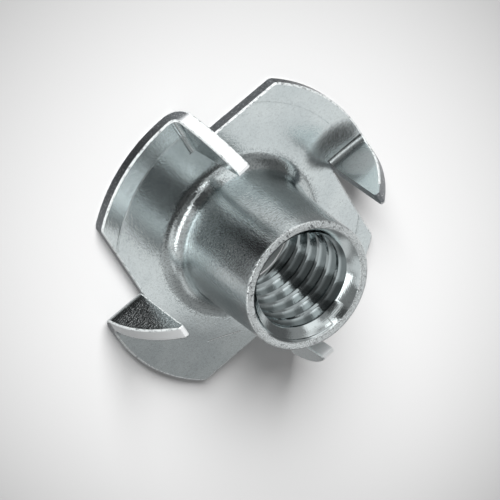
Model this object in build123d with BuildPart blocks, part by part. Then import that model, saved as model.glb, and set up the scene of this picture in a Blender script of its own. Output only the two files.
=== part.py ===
from build123d import *
import os
from math import acos, asin, cos, degrees, radians, sin, tan

# Four-prong tee nut, M8: a drawn barrel on a round flange whose four prongs are sheared and folded up
# towards the barrel mouth. Origin on the barrel axis in the plane of the flange's flat back,
# +Z along the barrel. Sizes in mm and degrees.

# pressed sheet
flange_diameter = 22.0
sheet_thickness = 1.0
shear_offset = 7.9              # barrel axis to each of the four straight shear cuts
corner_radius = 0.6             # corner where a shear cut leaves the rim
edge_break = 0.18               # blanked and sheared edges, dulled by tumbling and plating

# drawn barrel
overall_height = 10.0
lip_width = 0.53                # flat ring around the mouth
barrel_draft = 1.2              # the wall leans in towards the mouth
root_fillet = 1.35              # flange face into barrel wall
lip_round = 0.15                # outer corner of the mouth

# bore, at the minor diameter of an M8 coarse thread
bore_diameter = 6.7
lead_in_width = 0.8             # chamfer in the mouth, across
lead_in_depth = 0.85
back_round = 2.4                # drawing radius that leads the screw in from the back

# prongs: half of each sheared segment, folded at the middle of its side. The first three rows
# hold one value a prong, counter-clockwise from +X.
fold_angles = (85.0, 93.5, 92.0, 86.0)
fold_radii = (0.8, 0.5, 0.5, 0.5)          # inside of the fold
prong_reaches = (0.5, -0.25, -0.3, -0.7)   # the folds lie off the blank's middle, so lengths differ
shear_gap = 0.06                # open cut beside each prong
tip_radius = 0.22
neutral_line = 0.45             # of the sheet's thickness, from the inside of a fold

# what follows from them
rim_radius = flange_diameter / 2
bore_radius = bore_diameter / 2
lead_in_radius = bore_radius + lead_in_width
mouth_radius = lead_in_radius + lip_width
draft = radians(barrel_draft)
root_centre_z = sheet_thickness + root_fillet
wall_foot_z = root_centre_z - root_fillet * sin(draft)
wall_foot_r = mouth_radius + (overall_height - wall_foot_z) * tan(draft)
root_centre_r = wall_foot_r + root_fillet * cos(draft)
prong_side = shear_offset + shear_gap

with BuildPart() as tee_nut:
    # flange: the disc less the half segments that became the prongs
    with BuildSketch() as flange_plan:
        Circle(rim_radius)
        with PolarLocations(0, 4):
            with Locations((shear_offset, 0)):
                Rectangle(rim_radius, rim_radius, align=(Align.MIN, Align.MAX), mode=Mode.SUBTRACT)
        on_rim = [v for v in flange_plan.vertices() if abs(Vector(v).length - rim_radius) < 0.01]
        free_corners = [v for v in on_rim if min(abs(v.X), abs(v.Y)) > corner_radius]
        fillet(free_corners, corner_radius)
    extrude(amount=sheet_thickness)
    # break the outline of both flats, all but the four ends where the prongs go on
    flats = tee_nut.faces().filter_by(Axis.Z)
    outline = [e for e in flats.edges() if abs(e.center().X * e.center().Y) > 0.01]
    chamfer(outline, edge_break)

    for turn, fold_angle, fold_radius, reach in zip((0, 90, 180, 270), fold_angles, fold_radii, prong_reaches):
        fold = radians(fold_angle)
        outer_fold_radius = fold_radius + sheet_thickness
        used_length = (fold_radius + neutral_line * sheet_thickness) * fold - reach
        arc_start = asin(used_length / rim_radius)
        arc_end = acos(prong_side / rim_radius)
        prong_length = rim_radius * sin(arc_end) - used_length
        side = Plane.XY.rotated((0, 0, turn))

        # folded strip, drawn end on: x runs along the shear towards its free end, y up the barrel
        strip_plane = Plane(
            side.from_local_coords(Vector(prong_side, 0, outer_fold_radius)),
            x_dir=-side.y_dir, z_dir=-side.x_dir,
        )
        # the prong's flat face: x out from the barrel axis, y up the prong
        up_prong = side.z_dir * sin(fold) - side.y_dir * cos(fold)
        prong_plane = Plane(
            side.from_local_coords(Vector(0, 0, outer_fold_radius)),
            x_dir=side.x_dir, z_dir=side.x_dir.cross(up_prong),
        )

        def on_fold(radius, run):
            return (sin(fold) * radius + cos(fold) * run, sin(fold) * run - cos(fold) * radius)

        with BuildPart(mode=Mode.PRIVATE) as prong:
            with BuildSketch(strip_plane):
                with BuildLine():
                    CenterArc((0, 0), outer_fold_radius, 270, fold_angle)
                    Polyline(
                        on_fold(outer_fold_radius, 0), on_fold(outer_fold_radius, prong_length),
                        on_fold(fold_radius, prong_length), on_fold(fold_radius, 0),
                    )
                    CenterArc((0, 0), fold_radius, 270, fold_angle)
                    Line((0, -fold_radius), (0, -outer_fold_radius))
                make_face()
            extrude(amount=-(rim_radius - shear_offset))
            # the flange's own rim, laid up the folded prong, trims its outer edge to a point
            with BuildSketch(prong_plane) as prong_plan:
                with BuildLine():
                    arc_foot = (rim_radius * cos(arc_start), 0)
                    rim_foot = (rim_radius, -0.9 * fold_radius)
                    low = -1.5 * outer_fold_radius
                    CenterArc((0, -used_length), rim_radius, degrees(arc_start), degrees(arc_end - arc_start))
                    Polyline((prong_side, prong_length), (prong_side, low), (rim_radius, low), rim_foot)
                    Spline(rim_foot, arc_foot, tangents=[(0, 1), (-sin(arc_start), cos(arc_start))])
                make_face()
                fillet(prong_plan.vertices().sort_by(Axis.Y)[-1], tip_radius)
            extrude(amount=rim_radius, both=True, mode=Mode.INTERSECT)
            # break the outline of both sheet faces, all but the end that stays on the flange
            sheet_faces = prong.faces().filter_by(
                lambda f: abs(f.normal_at().dot(side.x_dir)) < 0.01 and abs(f.center().dot(side.y_dir)) > 0.01
            )
            outline = [
                e for e in sheet_faces.edges()
                if sum(e.is_same(other) for other in sheet_faces.edges()) == 1
                and abs(e.center().dot(side.y_dir)) > 0.01
            ]
            chamfer(outline, edge_break)
        add(prong.part)

    # barrel, drawn out of the middle of the flange, then its bore
    with BuildSketch(Plane.XZ):
        with BuildLine():
            Polyline((0, 0), (root_centre_r, 0), (root_centre_r, sheet_thickness))
            CenterArc((root_centre_r, root_centre_z), root_fillet, 270, barrel_draft - 90)
            Polyline((wall_foot_r, wall_foot_z), (mouth_radius, overall_height), (0, overall_height), (0, 0))
        make_face()
    revolve(axis=Axis.Z)
    with BuildSketch(Plane.XZ):
        with BuildLine():
            Polyline(
                (bore_radius + back_round, 0), (0, 0), (0, overall_height),
                (lead_in_radius, overall_height),
                (bore_radius, overall_height - lead_in_depth), (bore_radius, back_round),
            )
            CenterArc((bore_radius + back_round, back_round), back_round, 180, 90)
        make_face()
    revolve(axis=Axis.Z, mode=Mode.SUBTRACT)
    lip = tee_nut.edges().filter_by(GeomType.CIRCLE).group_by(Axis.Z)[-1].sort_by(SortBy.RADIUS)[-1]
    fillet(lip, lip_round)

tee_nut.part.label = "tee_nut"
os.makedirs("parts", exist_ok=True)
export_step(tee_nut.part, "parts/tee_nut.step")
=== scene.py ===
from math import cos, degrees, hypot, pi, radians, sin, sqrt, tan
from types import SimpleNamespace

import bmesh
import bpy
from bpy.props import FloatProperty, FloatVectorProperty, IntProperty, PointerProperty
from mathutils import Matrix, Vector


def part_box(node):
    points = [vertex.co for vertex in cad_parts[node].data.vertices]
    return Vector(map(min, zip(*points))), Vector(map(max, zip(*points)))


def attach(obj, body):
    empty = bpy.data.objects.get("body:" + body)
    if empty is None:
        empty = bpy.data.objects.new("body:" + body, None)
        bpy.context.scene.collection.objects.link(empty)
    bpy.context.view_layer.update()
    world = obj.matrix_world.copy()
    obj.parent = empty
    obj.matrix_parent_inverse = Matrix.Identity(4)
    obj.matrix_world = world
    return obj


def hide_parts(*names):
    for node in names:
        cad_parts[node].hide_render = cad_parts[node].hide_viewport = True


bl_info = {
    "name": "Prong tee nut",
    "version": (1, 0, 0),
    "blender": (4, 5, 0),
    "location": "3D View > Sidebar > Tee Nut",
    "description": "A zinc-plated four-prong tee nut pressed from sheet, on a plain pale floor",
    "category": "Object",
}

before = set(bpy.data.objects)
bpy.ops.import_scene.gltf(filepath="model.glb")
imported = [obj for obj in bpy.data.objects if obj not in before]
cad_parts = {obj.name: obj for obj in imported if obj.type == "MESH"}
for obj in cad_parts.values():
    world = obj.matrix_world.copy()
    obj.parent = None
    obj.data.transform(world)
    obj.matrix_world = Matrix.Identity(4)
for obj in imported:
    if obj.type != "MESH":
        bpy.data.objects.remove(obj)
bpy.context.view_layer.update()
MM = 0.001
node_low, node_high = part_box("tee_nut")
QUARTER_TURNS = [Matrix.Rotation(quarter * pi / 2, 4, "Z") for quarter in range(4)]
NEAR = 0.06 * MM                         # points nearer than this are at the same place
PLATED, SHEARED, EDGE = range(3)         # the nut's material slots


class TeeNutSizes(bpy.types.PropertyGroup):
    flange_diameter: FloatProperty(
        name="Flange diameter", description="Across the rim of the flat flange",
        default=node_high[0] - node_low[0], unit="LENGTH")
    height: FloatProperty(
        name="Height", description="Back of the flange to the barrel's mouth",
        default=node_high[2] - node_low[2], unit="LENGTH")
    sheet: FloatProperty(
        name="Sheet", description="Thickness of the pressed sheet", default=1.0 * MM, unit="LENGTH")
    shear_offset: FloatProperty(
        name="Shear offset", description="Barrel axis to each straight shear cut",
        default=7.9 * MM, unit="LENGTH")
    shear_gap: FloatProperty(
        name="Shear gap", description="Open cut beside each prong", default=0.06 * MM, unit="LENGTH")
    corner_run: FloatProperty(
        name="Corner run", description="How far from a sharp corner of the flange its round starts",
        default=0.25 * MM, unit="LENGTH")
    edge_round: FloatProperty(
        name="Edge round", description="Round on the blanked edges", default=0.13 * MM, unit="LENGTH")
    fold_angles: FloatVectorProperty(
        name="Fold angles", description="How far the prongs on +X, +Y, -X and -Y are folded", size=4,
        default=[radians(a) for a in (85, 93.5, 92, 86)], unit="ROTATION")
    fold_radii: FloatVectorProperty(
        name="Fold radii", description="Inside radius of each prong's fold", size=4,
        default=(0.8 * MM, 0.5 * MM, 0.5 * MM, 0.5 * MM), unit="LENGTH")
    prong_reaches: FloatVectorProperty(
        name="Prong reaches", description="How much longer each prong is than a fold on the middle gives",
        size=4, default=(0.5 * MM, -0.25 * MM, -0.3 * MM, -0.7 * MM), unit="LENGTH")
    tip_round: FloatProperty(
        name="Tip round", description="Rounds each prong's tip", default=0.22 * MM, unit="LENGTH")
    mouth_radius: FloatProperty(
        name="Mouth radius", description="Outside of the barrel at its mouth",
        default=4.68 * MM, unit="LENGTH")
    draft: FloatProperty(
        name="Draft", description="The barrel wall leans in towards its mouth",
        default=radians(1.2), subtype="ANGLE")
    root_fillet: FloatProperty(
        name="Root fillet", description="Flange face into barrel wall", default=1.35 * MM, unit="LENGTH")
    lip_round: FloatProperty(
        name="Lip round", description="Outer corner of the mouth", default=0.15 * MM, unit="LENGTH")
    bore_radius: FloatProperty(
        name="Crest radius", description="Inside the crests of the thread",
        default=3.35 * MM, unit="LENGTH")
    thread_root: FloatProperty(
        name="Thread root radius", description="To the bottom of the thread groove",
        default=4.0 * MM, unit="LENGTH")
    pitch: FloatProperty(
        name="Pitch", description="One turn of the thread", default=1.25 * MM, unit="LENGTH")
    lead_in_radius: FloatProperty(
        name="Lead-in radius", description="Wide end of the chamfer in the mouth",
        default=4.15 * MM, unit="LENGTH")
    lead_in_depth: FloatProperty(
        name="Lead-in depth", description="Depth of the chamfer in the mouth",
        default=0.85 * MM, unit="LENGTH")
    back_round: FloatProperty(
        name="Back round", description="Drawing radius at the back of the bore",
        default=2.4 * MM, unit="LENGTH")
    columns: IntProperty(
        name="Columns", description="Divisions round the barrel and the rim", default=180, min=60)


def deselect():
    if bpy.context.object and bpy.context.object.mode != "OBJECT":
        bpy.ops.object.mode_set(mode="OBJECT")
    bpy.ops.object.select_all(action="DESELECT")


def work_on(piece):
    deselect()
    piece.select_set(True)
    bpy.context.view_layer.objects.active = piece


def edit(piece, kind="EDGE"):
    work_on(piece)
    bpy.ops.object.mode_set(mode="EDIT")
    bpy.ops.mesh.select_mode(type=kind)


def pick(piece, test, kind="EDGE"):
    """Selects the vertices, edges or faces of the piece in edit mode that pass the test."""
    bpy.ops.mesh.select_mode(type=kind)
    bpy.ops.mesh.select_all(action="DESELECT")
    mesh = bmesh.from_edit_mesh(piece.data)
    rows = {"VERT": mesh.verts, "EDGE": mesh.edges, "FACE": mesh.faces}[kind]
    picked = [row for row in rows if test(row)]
    if not picked:
        raise RuntimeError(f"nothing to pick on {piece.name}")
    for row in picked:
        row.select_set(True)
    mesh.select_flush_mode()
    bmesh.update_edit_mesh(piece.data, loop_triangles=False, destructive=False)


def edge_middle(edge):
    return (edge.verts[0].co + edge.verts[1].co) / 2


def ring_to(radius, height, new_radius, new_height):
    """Draws the selected ring out to another radius and height."""
    bpy.ops.mesh.extrude_region_move()
    k = new_radius / radius
    bpy.ops.transform.resize(value=(k, k, 1), center_override=(0, 0, 0))
    bpy.ops.transform.translate(value=(0, 0, new_height - height))


def arc(centre, radius, start, end, steps):
    """Points (radius, height) on an arc of a turned profile, without its first one."""
    return [
        (centre[0] + radius * cos(start + (end - start) * k / steps),
         centre[1] + radius * sin(start + (end - start) * k / steps))
        for k in range(1, steps + 1)
    ]


def spin_profile(name, points, columns):
    """Draws a turned surface ring by ring through the points (radius, height)."""
    deselect()
    bpy.ops.mesh.primitive_circle_add(
        vertices=columns, radius=points[0][0], fill_type="NOTHING", location=(0, 0, points[0][1]))
    piece = bpy.context.object
    piece.name = name
    bpy.ops.object.transform_apply(location=True, rotation=False, scale=False)
    edit(piece)
    bpy.ops.mesh.select_all(action="SELECT")
    for here, there in zip(points, points[1:]):
        ring_to(*here, *there)
    bpy.ops.mesh.select_all(action="SELECT")
    bpy.ops.mesh.normals_make_consistent(inside=False)
    bpy.ops.object.mode_set(mode="OBJECT")
    return piece


def ends_cut(v, s):
    """True where a vertex of the flange is at the rim's end of a shear cut, on any side."""
    places = [turn @ v.co for turn in QUARTER_TURNS]
    return (abs(hypot(v.co.x, v.co.y) - s.flange_diameter / 2) < NEAR
            and any(abs(place.x - s.shear_offset) < NEAR and place.y < -7 * MM for place in places))


def blank_sheet(s, inner_radius):
    """The front of the flange: a ring, sheared along four lines, with a half segment out of each side."""
    piece = spin_profile(
        "flange_sheet", [(inner_radius, s.sheet), (s.flange_diameter / 2, s.sheet)], s.columns)
    edit(piece, "FACE")
    for turn in QUARTER_TURNS:
        out, along = turn @ Vector((1, 0, 0)), turn @ Vector((0, 1, 0))

        def half_side(f):
            """From the middle of this side to just past its corner, where the cut ends."""
            middle = f.calc_center_median()
            return middle.dot(along) < 0 and middle.dot(out) > -0.9 * middle.dot(along)

        pick(piece, half_side, "FACE")
        bpy.ops.mesh.bisect(plane_co=out * s.shear_offset, plane_no=out)
        pick(piece, lambda f: half_side(f) and f.calc_center_median().dot(out) > s.shear_offset, "FACE")
        bpy.ops.mesh.delete(type="FACE")
    bpy.ops.mesh.select_all(action="SELECT")
    bpy.ops.mesh.remove_doubles(threshold=0.05 * MM)
    # an edge that runs in from a corner would stop its round
    pick(piece, lambda e: len(e.link_faces) == 2 and any(ends_cut(v, s) for v in e.verts))
    bpy.ops.mesh.dissolve_edges(use_verts=False)
    pick(piece, lambda v: ends_cut(v, s), "VERT")
    bpy.ops.mesh.bevel(affect="VERTICES", offset=s.corner_run, segments=5, profile=0.5)
    bpy.ops.object.mode_set(mode="OBJECT")
    return piece


def fold_prong(piece, s, fold, fold_radius, reach):
    """Folds up the half segment on +X from its fold line, trimmed to the flange's own rim."""
    rim = s.flange_diameter / 2
    inner = s.shear_offset + s.shear_gap
    neutral_line, fold_steps, straight_steps = 0.45, 12, 9
    used = (fold_radius + neutral_line * s.sheet) * fold - reach
    # the tip is a small circle that touches the sheared side and the rim
    tip_x = inner + s.tip_round
    tip_run = sqrt((rim - s.tip_round) ** 2 - tip_x ** 2)
    touch_run = tip_run * rim / (rim - s.tip_round)

    def row_ends(run):
        """Where the prong's two edges are, at a distance up the sheet from the fold line."""
        half = sqrt(max(s.tip_round ** 2 - max(run - tip_run, 0) ** 2, 0))
        low = inner if run < tip_run else tip_x - half
        high = sqrt(rim ** 2 - run ** 2) if run < touch_run else tip_x + half
        return low, high

    def on_fold_line(e):
        return (abs(edge_middle(e).y) < 0.01 * MM and edge_middle(e).x > s.shear_offset
                and len(e.link_faces) == 1)

    pick(piece, on_fold_line)
    bpy.ops.mesh.subdivide(number_cuts=5)
    pick(piece, on_fold_line)
    now = [s.shear_offset, rim]          # where the ends of the row being drawn out are

    def trim(run):
        """Moves that row's ends to the prong's edges."""
        low, high = row_ends(run)
        k = (high - low) / (now[1] - now[0])
        bpy.ops.transform.resize(value=(k, 1, 1), center_override=(now[0], 0, 0))
        bpy.ops.transform.translate(value=(low - now[0], 0, 0))
        now[:] = low, high

    for k in range(fold_steps):
        bpy.ops.mesh.extrude_region_move()
        bpy.ops.transform.rotate(
            value=fold / fold_steps, orient_axis="X", center_override=(0, 0, s.sheet + fold_radius))
        trim(used * (k + 1) / fold_steps)
    up = Vector((0, -cos(fold), sin(fold)))
    runs = [used + (tip_run - used) * k / straight_steps for k in range(1, straight_steps + 1)]
    # two more rows go part of the way round the tip
    runs += [tip_run + s.tip_round * sin(radians(a)) for a in (28, 56)]
    for before, run in zip([used] + runs, runs):
        bpy.ops.mesh.extrude_region_move()
        bpy.ops.transform.translate(value=up * (run - before))
        trim(run)


def pressed_flange(s, inner_radius):
    """The flange with its four prongs: one sheet, folded and thickened, open at its inner edge."""
    piece = blank_sheet(s, inner_radius)
    edit(piece)
    for values in zip(s.fold_angles, s.fold_radii, s.prong_reaches):
        fold_prong(piece, s, *values)
        # turn the sheet on a quarter, so that the next side is on +X
        bpy.ops.mesh.select_all(action="SELECT")
        bpy.ops.transform.rotate(value=pi / 2, orient_axis="Z", center_override=(0, 0, 0))
    bpy.ops.mesh.select_all(action="SELECT")
    bpy.ops.mesh.normals_make_consistent(inside=False)
    bpy.ops.object.mode_set(mode="OBJECT")
    if sum(f.normal.z * f.area for f in piece.data.polygons) < 0:
        piece.data.flip_normals()
    thicken = piece.modifiers.new("thickness", "SOLIDIFY")
    thicken.thickness, thicken.offset = s.sheet, -1
    thicken.use_even_offset = True
    bpy.ops.object.modifier_apply(modifier=thicken.name)
    edit(piece, "FACE")
    pick(piece, lambda f: all(abs(hypot(v.co.x, v.co.y) - inner_radius) < NEAR for v in f.verts), "FACE")
    bpy.ops.mesh.delete(type="FACE")
    bpy.ops.object.mode_set(mode="OBJECT")
    return piece


def drawn_barrel(s, foot_radius):
    """The barrel from the flange's face, over the lip and down the bore to the flange's back."""
    bore, lip = s.bore_radius, s.lip_round
    fillet_steps, wall_steps, lip_steps = 14, 6, 5
    root = (s.mouth_radius + (s.height - s.sheet - s.root_fillet) * tan(s.draft) + s.root_fillet,
            s.sheet + s.root_fillet)
    wall = (root[0] - s.root_fillet * cos(s.draft), root[1] - s.root_fillet * sin(s.draft))
    top = (s.mouth_radius, s.height - lip)
    chamfer_foot = s.height - s.lead_in_depth
    points = [(foot_radius, s.sheet), (root[0], s.sheet)]
    points += arc(root, s.root_fillet, -pi / 2, s.draft - pi, fillet_steps)
    points += [tuple(low + (high - low) * k / wall_steps for low, high in zip(wall, top))
               for k in range(1, wall_steps + 1)]
    points += arc((s.mouth_radius - lip, s.height - lip), lip, 0, pi / 2, lip_steps)
    # both edges of the chamfer in the mouth are broken by a few hundredths
    points += [(s.lead_in_radius + 0.05 * MM, s.height), (s.lead_in_radius, s.height - 0.02 * MM),
               (bore + 0.03 * MM, chamfer_foot + 0.01 * MM), (bore, chamfer_foot - 0.04 * MM),
               (bore, s.back_round)]
    points += arc((bore + s.back_round, s.back_round), s.back_round, pi, 1.5 * pi, fillet_steps)
    points += [(foot_radius, 0)]
    return spin_profile("barrel", points, s.columns)


def thread_tool(s):
    """The tap's path: one groove section swept up the bore, fading out where the tap stopped."""
    # from the groove's bottom in past the crest: radius, and half height in millimetres
    section = [(s.thread_root, 0.06), (s.thread_root - 0.05 * MM, 0.11), (s.bore_radius + 0.09 * MM, 0.41),
               (s.bore_radius + 0.02 * MM, 0.47), (s.bore_radius - 0.25 * MM, 0.60)]
    start_height, turns, steps = 2.06 * MM, 7, 120
    faded_steps = int(0.45 * steps)      # of the first turn
    side = 1 * MM                        # half the diagonal of the square that it starts from
    deselect()
    bpy.ops.mesh.primitive_circle_add(
        vertices=4, radius=side, fill_type="NOTHING", location=(section[0][0], 0, start_height),
        rotation=(pi / 2, 0, 0))
    piece = bpy.context.object
    piece.name = "thread_tool"
    bpy.ops.object.transform_apply(location=True, rotation=True, scale=False)
    edit(piece, "VERT")
    # keep the two upright points of the square and join them: the groove's bottom
    pick(piece, lambda v: abs(v.co.x - section[0][0]) > side / 2, "VERT")
    bpy.ops.mesh.delete(type="VERT")
    bpy.ops.mesh.select_all(action="SELECT")
    bpy.ops.mesh.edge_face_add()
    bpy.ops.transform.resize(value=(1, 1, section[0][1]), center_override=(0, 0, start_height))
    for here, there in zip(section, section[1:]):
        bpy.ops.mesh.extrude_region_move()
        bpy.ops.transform.translate(value=(there[0] - here[0], 0, 0))
        bpy.ops.transform.resize(value=(1, 1, there[1] / here[1]), center_override=(0, 0, start_height))
    bpy.ops.mesh.select_all(action="SELECT")
    bpy.ops.mesh.dissolve_faces()
    bpy.ops.mesh.delete(type="ONLY_FACE")
    bpy.ops.object.mode_set(mode="OBJECT")
    sweep = piece.modifiers.new("sweep", "SCREW")
    sweep.axis, sweep.angle, sweep.screw_offset, sweep.iterations = "Z", 2 * pi, s.pitch, turns
    sweep.steps = sweep.render_steps = steps
    bpy.ops.object.modifier_apply(modifier=sweep.name)
    edit(piece, "VERT")
    bpy.ops.mesh.select_all(action="SELECT")
    bpy.ops.mesh.remove_doubles(threshold=0.001 * MM)
    bpy.ops.mesh.fill_holes(sides=0)
    bpy.ops.mesh.select_all(action="SELECT")
    bpy.ops.mesh.normals_make_consistent(inside=False)
    # the faded steps move inwards, the first of them clear of the bore
    for k in range(faded_steps):
        turn = 2 * pi * k / steps
        out = Vector((cos(turn), sin(turn), 0))
        height = start_height + s.pitch * k / steps
        pick(piece, lambda v: v.co.dot(out) > 2 * MM and abs(v.co.x * out.y - v.co.y * out.x) < 0.02 * MM
             and abs(v.co.z - height) < s.pitch / 2, "VERT")
        depth = (s.thread_root - s.bore_radius + 0.1 * MM) * (1 - sin(pi / 2 * k / faded_steps))
        bpy.ops.transform.translate(value=-out * depth)
    bpy.ops.object.mode_set(mode="OBJECT")
    return piece


def cut_with(piece, tool):
    """Cuts the tool out of the piece and deletes the tool."""
    work_on(piece)
    cut = piece.modifiers.new("cut", "BOOLEAN")
    cut.operation, cut.solver, cut.object = "DIFFERENCE", "EXACT", tool
    bpy.ops.object.modifier_apply(modifier=cut.name)
    deselect()
    tool.select_set(True)
    bpy.ops.object.delete()


def weld(pieces, name):
    """Joins the pieces into one and welds their common edges."""
    deselect()
    for piece in pieces:
        piece.select_set(True)
    bpy.context.view_layer.objects.active = pieces[0]
    bpy.ops.object.join()
    piece = bpy.context.object
    piece.name = name
    edit(piece, "VERT")
    bpy.ops.mesh.select_all(action="SELECT")
    bpy.ops.mesh.remove_doubles(threshold=0.01 * MM)
    bpy.ops.mesh.select_all(action="SELECT")
    bpy.ops.mesh.normals_make_consistent(inside=False)
    bpy.ops.object.mode_set(mode="OBJECT")
    return piece


def from_slit(v, s):
    """How far a vertex lies from the nearest end of a shear cut, in plan."""
    slit_ends = [turn @ Vector((s.shear_offset, 0, 0)) for turn in QUARTER_TURNS]
    return min(hypot(v.co.x - end.x, v.co.y - end.y) for end in slit_ends)


def is_sheared(f, s, reach):
    """True for a face that the press sheared, past a radius: the rim, the cuts and the prongs' edges."""
    middle = f.calc_center_median()
    if hypot(middle.x, middle.y) < reach:
        return False
    if middle.z <= s.sheet * 1.02:
        return abs(f.normal.z) < 0.5
    # a prong's broad faces look along its side of the blank, and in the fold they look up or down
    out = Vector((1, 0, 0)) if abs(middle.x) > abs(middle.y) else Vector((0, 1, 0))
    along = Vector((-out.y, out.x, 0))
    above_fold = middle.z > 1.5 * s.sheet
    return abs(f.normal.dot(along)) < 0.3 and (above_fold or abs(f.normal.dot(out)) > 0.15)


def pressed_nut(s):
    """The whole nut: flange and barrel welded, edges rounded, thread cut, shading made even."""
    foot = 7.0 * MM                      # the ring where the flange's mesh meets the barrel's
    past_foot, clear_of_slit = foot + 0.2 * MM, 0.9 * MM
    piece = weld([pressed_flange(s, foot), drawn_barrel(s, foot)], "tee_nut_plated")
    piece.data.materials.clear()
    for finish in (zinc_plating(s), zinc_sheared(), zinc_edge()):
        piece.data.materials.append(finish)

    def gets_rounded(e):
        """True for a sharp edge of the flange or a prong, clear of the slits' ends."""
        return (len(e.link_faces) == 2 and e.calc_face_angle(0) > radians(50)
                and min(hypot(v.co.x, v.co.y) for v in e.verts) > past_foot
                and min(from_slit(v, s) for v in e.verts) > clear_of_slit)

    edit(piece)
    pick(piece, gets_rounded)
    bpy.ops.mesh.bevel(offset=s.edge_round, segments=3, profile=0.5, affect="EDGES", material=EDGE)
    pick(piece, lambda f: f.material_index == PLATED and is_sheared(f, s, past_foot), "FACE")
    piece.active_material_index = SHEARED
    bpy.ops.object.material_slot_assign()
    bpy.ops.object.mode_set(mode="OBJECT")
    cut_with(piece, thread_tool(s))
    edit(piece)
    bpy.ops.mesh.select_all(action="SELECT")
    bpy.ops.mesh.delete_loose(use_verts=True, use_edges=True, use_faces=True)
    bpy.ops.object.mode_set(mode="OBJECT")
    bpy.ops.object.shade_smooth_by_angle(angle=radians(32))
    # the sheet's flats stay flat right up to the rounded edges
    edit(piece)
    pick(piece, lambda e: len({f.material_index == EDGE for f in e.link_faces}) == 2)
    bpy.ops.mesh.mark_sharp()
    bpy.ops.object.mode_set(mode="OBJECT")
    even = piece.modifiers.new("even_shading", "WEIGHTED_NORMAL")
    even.keep_sharp = True
    bpy.ops.object.modifier_apply(modifier=even.name)
    return piece


class Value:
    """A number that varies over a surface. Python's operators on it add Math nodes."""

    def __init__(self, nodes, socket):
        self.nodes, self.socket = nodes, socket

    def math(self, operation, *others, first=None):
        made = self.nodes.tree.nodes.new("ShaderNodeMath")
        made.operation = operation
        row = (self, *others) if first is None else (first, self)
        for socket, given in zip(made.inputs, row):
            self.nodes.feed(socket, given)
        return Value(self.nodes, made.outputs[0])

    def __add__(self, other):
        return self.math("ADD", other)

    __radd__ = __add__

    def __sub__(self, other):
        return self.math("SUBTRACT", other)

    def __rsub__(self, other):
        return self.math("SUBTRACT", first=other)

    def __mul__(self, other):
        return self.math("MULTIPLY", other)

    __rmul__ = __mul__

    def __truediv__(self, other):
        return self.math("DIVIDE", other)

    def __rtruediv__(self, other):
        return self.math("DIVIDE", first=other)

    def __pow__(self, other):
        return self.math("POWER", other)

    def __abs__(self):
        return self.math("ABSOLUTE")

    def least(self, other):
        return self.math("MINIMUM", other)

    def most(self, other):
        return self.math("MAXIMUM", other)

    def root(self):
        return self.math("SQRT")

    def sine(self):
        return self.math("SINE")

    def arcsine(self):
        return self.math("ARCSINE")

    def turn_from(self, other):
        """The angle of the way (other, self), in radians."""
        return self.math("ARCTAN2", other)

    def towards(self, other, share):
        """This value where the share is 0, the other where it is 1."""
        return self + (other - self) * share

    def ramp(self, low, high):
        """0 below low, 1 above high, smooth between; low may be the larger."""
        made = self.nodes.add("ShaderNodeMapRange", {"interpolation_type": "SMOOTHSTEP", "clamp": True},
                              {"Value": self, "From Min": low, "From Max": high})
        return Value(self.nodes, made.outputs["Result"])


class Nodes:
    """A node tree that is emptied, and filled again through add."""

    def __init__(self, tree):
        self.tree = tree
        tree.nodes.clear()

    def feed(self, socket, given):
        """Links a Value, a socket or a node's first output to the socket, or sets its plain value."""
        if isinstance(given, Value):
            given = given.socket
        if isinstance(given, bpy.types.NodeSocket):
            self.tree.links.new(given, socket)
        elif isinstance(given, bpy.types.Node):
            self.tree.links.new(given.outputs[0], socket)
        else:
            socket.default_value = given

    def add(self, kind, settings=None, sockets=None):
        """A new node: its type, its settings, then the values or links of its sockets."""
        made = self.tree.nodes.new(kind)
        for name, given in (settings or {}).items():
            setattr(made, name, given)
        for name, given in (sockets or {}).items():
            self.feed(made.inputs[name], given)
        return made

    def value(self, node, output=0):
        return Value(self, node.outputs[output])

    def bump(self, height, **sockets):
        """Fine relief: a height in millimetres."""
        return self.add("ShaderNodeBump", None, {
            "Strength": 1.0, "Distance": MM, "Height": height, **sockets})

    def surface(self, sockets):
        """The tree's last two nodes: a Principled shader and the output."""
        shader = self.add("ShaderNodeBsdfPrincipled", None, sockets)
        self.add("ShaderNodeOutputMaterial", None, {"Surface": shader})

    def mix(self, share, one, other):
        """A colour between two, each a colour value or three numbers."""
        one, other = [(*given, 1) if isinstance(given, tuple) else given for given in (one, other)]
        made = self.add("ShaderNodeMix", {"data_type": "RGBA"}, {"Factor": share, "A": one, "B": other})
        return made.outputs["Result"]

    def noise(self, where, scale, detail, roughness):
        return self.value(self.add(
            "ShaderNodeTexNoise", None,
            {"Vector": where, "Scale": scale, "Detail": detail, "Roughness": roughness}))

    def leaning(self, east, north):
        """The surface's own normal, leaned by two slopes."""
        slopes = self.add("ShaderNodeCombineXYZ", None, {"X": east, "Y": north})
        normal = self.add("ShaderNodeNewGeometry").outputs["Normal"]
        leaned = self.add("ShaderNodeVectorMath", {"operation": "ADD"}, {0: normal, 1: slopes})
        return self.add("ShaderNodeVectorMath", {"operation": "NORMALIZE"}, {0: leaned})

    def place(self, kind="Object"):
        """The shaded point and its x, y and z in millimetres, or for the world the way that is seen."""
        where = self.add("ShaderNodeTexCoord").outputs[kind]
        parts = self.add("ShaderNodeSeparateXYZ", None, {"Vector": where})
        k = 1000 if kind == "Object" else 1
        return where, [Value(self, parts.outputs[i]) * k for i in range(3)]


def new_material(name):
    """A material with an emptied node tree, and where the shaded point is, also as x, y and z."""
    material = bpy.data.materials.new(name)
    material.use_nodes = True
    nodes = Nodes(material.node_tree)
    return material, nodes, *nodes.place()


def oval(across, up, middle, half):
    """0 in the middle of an oval, 1 on its line, and more outside it."""
    return ((across - middle[0]) / half[0]) ** 2 + ((up - middle[1]) / half[1]) ** 2


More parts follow.
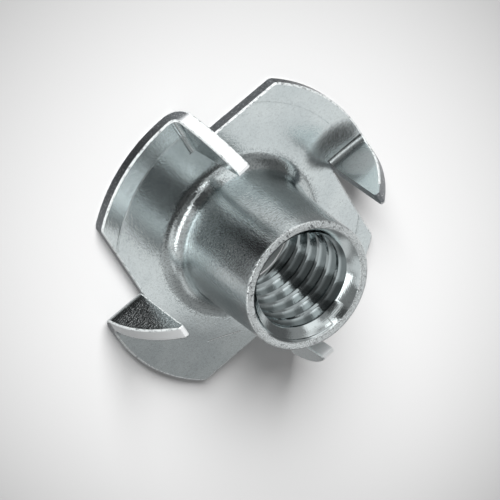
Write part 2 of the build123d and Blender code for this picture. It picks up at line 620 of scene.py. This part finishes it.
def plating_zones(s, x, y, z):
    """Where each look of the plating is: masks from 0 to 1, worked out in millimetres."""
    rim, sheet, height = s.flange_diameter / 2 / MM, s.sheet / MM, s.height / MM
    mouth, lead_in = s.mouth_radius / MM, s.lead_in_radius / MM
    bore, root, shear = s.bore_radius / MM, s.thread_root / MM, s.shear_offset / MM
    r = (x * x + y * y).root()

    def along(azimuth):
        """How far out a point is on the way that points to an azimuth."""
        return x * cos(radians(azimuth)) + y * sin(radians(azimuth))

    def facing(azimuth, far, close):
        """1 within close degrees of an azimuth, 0 beyond far degrees of it."""
        return (along(azimuth) / r).ramp(cos(radians(far)), cos(radians(close)))

    on = SimpleNamespace(east=x / r, north=y / r)
    on.lip = z.ramp(height - 0.2, height - 0.05) * r.ramp(lead_in - 0.07, lead_in + 0.01)
    on.burred = on.lip * (facing(-78.5, 84.3, 45.6) * 0.7 + 0.3)
    on.inside = r.ramp(mouth - 0.35, mouth - 0.55)
    on.outside = 1 - on.inside
    # the tapped thread and its grooves, both painted darker as painted shade, the grooves most
    on.thread = r.ramp(root + 0.03, root - 0.03) * z.ramp(height - 0.8, height - 0.95)
    on.groove = on.thread * r.ramp(bore + 0.04, bore + 0.22)

    # the barrel's wall, with painted shade that is darkest under the camera and at the side of the black
    # screen
    on.wall = (z.ramp(sheet + 0.8, sheet + 1.6) * z.ramp(height - 0.1, height - 0.3)
               * r.ramp(6.0, 5.5) * on.outside)
    # painted shade: the front of the wall, which also gets more grain specks, and its side towards +X
    on.drawn = on.wall * facing(-65, 25.2, 14.5)
    on.dark = on.wall * facing(0, 36.9, 14.1) + on.drawn
    on.fillet = z.ramp(sheet + 1.4, sheet + 0.9) * r.ramp(6.2, 6.0)

    # the outer face of the prong on +X is grainy, painted dark as painted shade and flecked pale as painted
    # glints, and the prong on -X is rougher in its middle, with a painted highlight there
    on.outer = x.ramp(shear, shear + 0.1) * z.ramp(sheet + 0.2, sheet + 1.2)
    on.dulled = (oval(x, z, (-9.3, 2.8), (1.2, 1.6)).ramp(1.3, 0.2)
                 * x.ramp(-shear - 0.1, -shear - 0.2) * z.ramp(sheet + 0.4, sheet + 0.8) * y.ramp(1.0, 0.8))

    # the flange: one petal's rim leans in and is painted pale there as a painted highlight, the next petal
    # bends down at its corner, and the sheet pulls up at the fold on -X, painted darker there as painted
    # shade. A pressed line runs along inside the rim, and one petal is scratched.
    face = 1 - z.ramp(sheet + 0.15, sheet + 0.6) * r.ramp(7.2, 7.6)
    on.flat = r.ramp(6.0, 6.5) * (1 - on.outer)
    on.lifted = facing(-77, 38.7, 18.2) * r.ramp(rim - 1.55, rim - 1.3) * face
    on.bent = along(45).ramp(4.4, 7.8) * face
    # the sheet pulled up at the fold on -X: a leaned normal, and painted shade in the tone
    on.pulled = oval(x, y, (-8.8, -0.7), (2.5, 1.5)).ramp(1.5, 0.0) * face
    on.pressed = (abs(r - (rim - 1.45)).ramp(0.12, 0.0) * z.ramp(sheet - 0.2, sheet - 0.05)
                  * face * (1 - on.bent) * (1 - on.pulled))
    down = along(151.4)
    on.scratch = (abs(along(61.4) - 7.477 - down * down * 0.012).ramp(0.045, 0.01)
                  * down.ramp(-2.8, -2.3) * down.ramp(0.1, -0.4) * face)
    return on


def zinc_plating(s):
    """Bright zinc: grainy on the barrel, smoother on the flats, burred at the mouth, dark with painted
    shade in the thread;
    painted shade and painted highlights also lie on the barrel's wall, the prongs and the flange.
    """
    material, nodes, where, (x, y, z) = new_material("zinc_plating")
    on = plating_zones(s, x, y, z)
    grain = nodes.noise(where, 7500, 2, 0.6)
    speckle = nodes.noise(where, 3200, 2, 0.5)
    cloud = nodes.noise(where, 420, 3, 0.5)
    pits = nodes.noise(where, 5200, 3, 0.65)
    burr = nodes.noise(where, 2600, 3, 0.65)

    normal = nodes.leaning(
        on.bent * 0.075 - on.lifted * on.east * 0.16,
        on.bent * 0.075 - on.lifted * on.north * 0.16 - on.pulled * 0.22)
    # heights in millimetres
    orange = (grain - 0.5) * (0.018 * on.outside + 0.004) + (speckle - 0.5) * (0.008 * on.outside + 0.002)
    orange *= (1 - on.flat * 0.66) * (1 - on.bent * 0.7) * (1 - on.fillet * 0.45)
    chips = (pits - 0.5) * on.lip * 0.05 + (burr - 0.5) * on.burred * 0.05
    radius = (x * x + y * y).root()
    turned = (z * 60 + radius * 20).sine() * on.inside * (1 - on.thread) * (1 - on.lip) * 0.0004
    bump = nodes.bump(orange + chips + turned - on.pressed * 0.007 - on.scratch * 0.02, Normal=normal)
    rough = 0.10 + (cloud - 0.5) * 0.05 + on.lip * 0.06 + on.flat * 0.07 + on.dulled * 0.38

    # pale is the colour of the painted highlights, near_black that of the painted shade
    pale, near_black = (0.90, 0.95, 0.955), (0.13, 0.135, 0.14)
    tone = nodes.mix(cloud.ramp(0.3, 0.7) * (1 - on.thread), (0.63, 0.69, 0.70), (0.72, 0.78, 0.785))
    # painted highlights: the leaning rim of one petal and the middle of the prong on -X are painted pale
    tone = nodes.mix((on.lifted * 0.6 + on.dulled * 0.9).least(1.0), tone, pale)
    # painted shade: the barrel's wall, the outer face of the prong on +X and the sheet pulled up at the
    # fold on -X are painted darker
    tone = nodes.mix(on.dark * 0.42 + on.outer * 0.50 + on.pulled * 0.2, tone, near_black)
    tone = nodes.mix(on.lip, tone, (0.84, 0.89, 0.895))
    # painted shade in the thread, darkest in its grooves
    tone = nodes.mix(on.thread, tone, (0.49, 0.55, 0.56))
    tone = nodes.mix(on.groove, tone, (0.21, 0.245, 0.25))
    tone = nodes.mix(on.scratch, tone, (0.95, 0.96, 0.96))
    # pale grain flecks on the outer face of the prong on +X: painted glints
    tone = nodes.mix(on.outer * grain.ramp(0.50, 0.60) * 0.8, tone, (0.90, 0.93, 0.94))
    specks = (burr.ramp(0.56, 0.61) * on.burred * 0.7
              + pits.ramp(0.60, 0.68) * (on.lip * 0.3 + 0.22 - on.flat * 0.06 + on.pulled * 0.3)
              + grain.ramp(0.50, 0.64) * (0.30 - on.flat * 0.20 + on.drawn * 0.30)
              * (1 - on.lip) * (1 - on.outer) * on.outside)
    tone = nodes.mix(specks.least(0.85), tone, (0.16, 0.17, 0.18))
    nodes.surface({"Base Color": tone, "Metallic": 1 - on.lip * 0.12, "Roughness": rough, "Normal": bump})
    return material


def zinc_sheared():
    """The torn grain of the sheared edges, painted palest on the three prongs that face the lamps, as
    painted light.
    """
    material, nodes, where, (x, y, z) = new_material("zinc_sheared")
    grain = nodes.noise(where, 6500, 3, 0.7)
    torn = nodes.noise(where, 9000, 2, 0.6).ramp(0.56, 0.66)
    # painted light: the sheared faces of the three prongs that face the lamps are painted pale and made
    # less metallic
    pale = z.ramp(1.0, 1.6) * x.ramp(6.5, 7.0).most(abs(y).ramp(6.5, 7.0))
    tone = nodes.mix(torn, (0.30, 0.32, 0.34), (0.80, 0.82, 0.83))
    nodes.surface({
        "Base Color": nodes.mix(pale, tone, (0.84, 0.86, 0.865)),
        "Metallic": 1 - pale * 0.6, "Roughness": 0.28 + pale * 0.2,
        "Normal": nodes.bump((grain - 0.5) * (0.035 - pale * 0.02))})
    return material


def zinc_edge():
    """The rougher rounded edges, with painted highlights in short runs."""
    material, nodes, where, _ = new_material("zinc_edge")
    # painted highlights in short runs along the edges: pale and less metallic there
    painted_glint = nodes.noise(where, 5200, 3, 0.6).ramp(0.28, 0.52)
    grain = nodes.noise(where, 7000, 2, 0.6)
    nodes.surface({
        "Base Color": nodes.mix(painted_glint, (0.50, 0.54, 0.55), (0.86, 0.90, 0.90)),
        "Metallic": 1 - painted_glint * 0.5, "Roughness": 0.3, "Normal": nodes.bump((grain - 0.5) * 0.03)})
    return material


class StageSizes(bpy.types.PropertyGroup):
    camera_place: FloatVectorProperty(
        name="Camera", description="Where the camera stands", size=3,
        default=(45.909 * MM, -165.221 * MM, 212.189 * MM), subtype="TRANSLATION", unit="LENGTH")
    camera_turn: FloatVectorProperty(
        name="Camera turn", description="The camera's turn, rolled as the photograph is", size=3,
        default=(radians(-26.6791), radians(-30.0385), radians(150.4818)), subtype="EULER")
    lens: FloatProperty(name="Lens", description="Focal length in millimetres", default=288.0)
    floor_colour: FloatVectorProperty(
        name="Floor colour", description="Plain pale floor", size=3, subtype="COLOR",
        default=(0.8, 0.8, 0.8), min=0, max=1)
    # the floor's painted falloff of the light: its palest spot, how far it reaches and how much darker it
    # gets
    pale_middle: FloatVectorProperty(
        name="Palest spot", description="Where the floor is palest, across and up the picture", size=2,
        default=(2.4 * MM, -2.8 * MM), unit="LENGTH")
    pale_reach: FloatProperty(
        name="Pale reach", description="From the palest spot to a corner of the picture",
        default=24 * MM, unit="LENGTH")
    falloff: FloatProperty(
        name="Falloff", description="How much darker the floor is at the corners",
        default=0.45, min=0, max=1)
    fill_level: FloatProperty(
        name="Fill level", description="Even light on the floor", default=0.25, min=0)
    lamp_energy: FloatProperty(name="Lamp", description="Power of the main lamp", default=16.5, min=0)
    lamp_place: FloatVectorProperty(
        name="Lamp place", description="Where the main lamp hangs", size=3,
        default=(-0.17, -0.71, 0.53), subtype="TRANSLATION", unit="LENGTH")
    lamp_size: FloatProperty(
        name="Lamp size", description="Across the main lamp", default=0.6, unit="LENGTH")


def soft_box(way, rise, azimuth, elevation, width, height, edge):
    """A mask over the sky: a box of light or shade with a soft edge, all in degrees."""
    turn = radians(azimuth)
    across = way[1] * cos(turn) - way[0] * sin(turn)
    ahead = way[0] * cos(turn) + way[1] * sin(turn)
    aside = abs(across.turn_from(ahead)) * degrees(1)
    return (aside.ramp((width + edge) / 2, (width - edge) / 2)
            * abs(rise - elevation).ramp((height + edge) / 2, (height - edge) / 2))


def studio_sky(world, t):
    """What the metal mirrors: soft boxes and screens round the nut, each painted over the ones before."""
    world.use_nodes = True
    nodes = Nodes(world.node_tree)
    _, way = nodes.place("Generated")
    rise = way[2].arcsine() * degrees(1)
    # each row is azimuth, elevation, width, height and soft edge in degrees, then level
    around = [
        (45, -15, 90, 80, 20, 0.19),         # low screen behind
        (38, 10, 34, 22, 12, 0.60),
        (45, 40, 90, 26, 14, 0.28),
        (45, 58, 90, 12, 8, 0.50),
        (137, -10, 34, 86, 12, 0.66),        # long box, back right
        (170, 10, 34, 80, 14, 0.12),
        (-128, 8, 32, 120, 10, 1.0),         # long box, front left
        (-102, -10, 24, 60, 10, 0.16),
        (-76, -10, 32, 92, 10, 0.065),       # black screen under the camera
        (-34, 4, 56, 44, 10, 0.50),
        (-40, -28, 32, 30, 12, 0.60),
        (-5, -22, 38, 50, 12, 0.46),
        (0, 16, 24, 26, 12, 0.62),
        (15, 40, 28, 24, 14, 0.75),
    ]
    # overhead, mirrored by the flange and then the wall: azimuth, width, level
    overhead = [(azimuth, 56, width, 26, 8, level) for azimuth, width, level in (
        (-76, 40, 0.07), (-39, 46, 0.20), (4, 38, 0.80), (34, 22, 0.40), (136, 24, 0.50),
        (160, 34, 0.27), (-164, 30, 0.34), (-143, 22, 0.75), (-114, 36, 0.40))]
    lamps = [
        (-102, 54, 20, 15, 6, 1.60),
        (113, 53, 36, 20, 9, 0.88),          # what the flat of the flange mirrors
        (-100, 41, 74, 7, 5, 0.80),
        (-34, 32, 58, 13, 5, 2.30),          # main soft box, right of the camera
    ]
    # round the foot, mirrored by the barrel's wall: azimuth, width, edge, level
    foot = [(azimuth, -66, width, 44, edge, level) for azimuth, width, edge, level in (
        (-75, 38, 8, 0.05), (-39, 44, 8, 0.12), (4, 38, 10, 0.60), (34, 22, 8, 0.27), (80, 70, 10, 0.36),
        (118, 40, 12, 0.80), (160, 34, 10, 0.20), (-164, 30, 10, 0.25), (-143, 22, 8, 0.50))]
    below = [(-113, -47, 40, 14, 5, 0.60), (-104, -47, 18, 14, 5, 0.90), (-113, -73, 46, 36, 5, 0.03)]
    light = rise.ramp(58, 74) * -0.22 + 0.28
    for *box, level in around + overhead + lamps + foot + below:
        light = light.towards(level, soft_box(way, rise, *box))
    # the floor is lit evenly, and only the metal sees the boxes
    mirrored = nodes.value(nodes.add("ShaderNodeLightPath"), "Is Glossy Ray")
    nodes.add("ShaderNodeOutputWorld", None, {"Surface": nodes.add("ShaderNodeBackground", None, {
        "Color": (1, 1, 1, 1), "Strength": (light - t.fill_level) * mirrored + t.fill_level})})


def floor_finish(t):
    """Pale and plain, palest under the nut and greyer towards the corners of the picture: a painted falloff
    of the light.
    """
    material, nodes, _, (x, y, _) = new_material("floor_pale")
    turned = bpy.context.scene.camera.matrix_world.to_3x3()
    right, up = turned @ Vector((1, 0, 0)), turned @ Vector((0, 1, 0))
    aside = x * right.x + y * right.y - t.pale_middle[0] / MM
    above = x * up.x + y * up.y - t.pale_middle[1] / MM
    away = (aside * aside + above * above) / (t.pale_reach / MM) ** 2
    nodes.surface({
        "Base Color": nodes.mix(away.least(1.3) * t.falloff, tuple(t.floor_colour), (0.0, 0.0, 0.0)),
        "Roughness": 0.9, "Specular IOR Level": 0.1})
    return material


class TEENUT_OT_nut(bpy.types.Operator):
    """Press the tee nut: flange, folded prongs, drawn barrel and tapped bore, in one plated piece"""
    bl_idname = "tee_nut.press"
    bl_label = "Press Tee Nut"

    def execute(self, context):
        s = context.scene.tee_nut
        piece = pressed_nut(s)
        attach(piece, "root")
        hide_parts("tee_nut")
        return {"FINISHED"}


class TEENUT_OT_stage(bpy.types.Operator):
    """Set the tee nut on a plain pale floor, with soft studio light and the camera"""
    bl_idname = "tee_nut.stage"
    bl_label = "Set Stage"

    def execute(self, context):
        t = context.scene.tee_nut_stage
        deselect()
        bpy.ops.object.camera_add(location=t.camera_place, rotation=t.camera_turn)
        camera = bpy.context.object
        camera.name = "camera"
        camera.data.lens, camera.data.sensor_width = t.lens, 36.0
        camera.data.clip_start, camera.data.clip_end = 0.01, 10.0
        context.scene.camera = camera
        context.view_layer.update()
        bpy.ops.mesh.primitive_plane_add(size=4.0, location=(0, 0, 0))
        floor = bpy.context.object
        floor.name = "floor"
        floor.data.materials.append(floor_finish(t))
        # the metal mirrors the sky's boxes, not the floor or the lamp
        floor.visible_glossy = False
        bpy.ops.object.light_add(type="AREA", location=t.lamp_place)
        lamp = bpy.context.object
        lamp.name = "main_lamp"
        lamp.data.shape, lamp.data.size, lamp.data.energy = "DISK", t.lamp_size, t.lamp_energy
        lamp.rotation_euler = (-Vector(t.lamp_place)).to_track_quat("-Z", "Y").to_euler()
        lamp.visible_glossy = False
        world = bpy.data.worlds.new("studio")
        context.scene.world = world
        studio_sky(world, t)
        context.scene.view_settings.view_transform = "Standard"
        return {"FINISHED"}


class TEENUT_PT_panel(bpy.types.Panel):
    """Sizes and steps of the tee nut"""
    bl_idname = "TEENUT_PT_panel"
    bl_label = "Tee Nut"
    bl_space_type = "VIEW_3D"
    bl_region_type = "UI"
    bl_category = "Tee Nut"

    def draw(self, context):
        for group in (context.scene.tee_nut, context.scene.tee_nut_stage):
            column = self.layout.column()
            for name in group.__annotations__:
                column.prop(group, name)
        self.layout.operator(TEENUT_OT_nut.bl_idname)
        self.layout.operator(TEENUT_OT_stage.bl_idname)


classes = (TeeNutSizes, StageSizes, TEENUT_OT_nut, TEENUT_OT_stage, TEENUT_PT_panel)


def register():
    for each in classes:
        bpy.utils.register_class(each)
    bpy.types.Scene.tee_nut = PointerProperty(type=TeeNutSizes)
    bpy.types.Scene.tee_nut_stage = PointerProperty(type=StageSizes)


def unregister():
    del bpy.types.Scene.tee_nut_stage
    del bpy.types.Scene.tee_nut
    for each in reversed(classes):
        bpy.utils.unregister_class(each)


def main():
    register()
    bpy.ops.tee_nut.press()
    bpy.ops.tee_nut.stage()
    deselect()


if __name__ == "__main__":
    main()
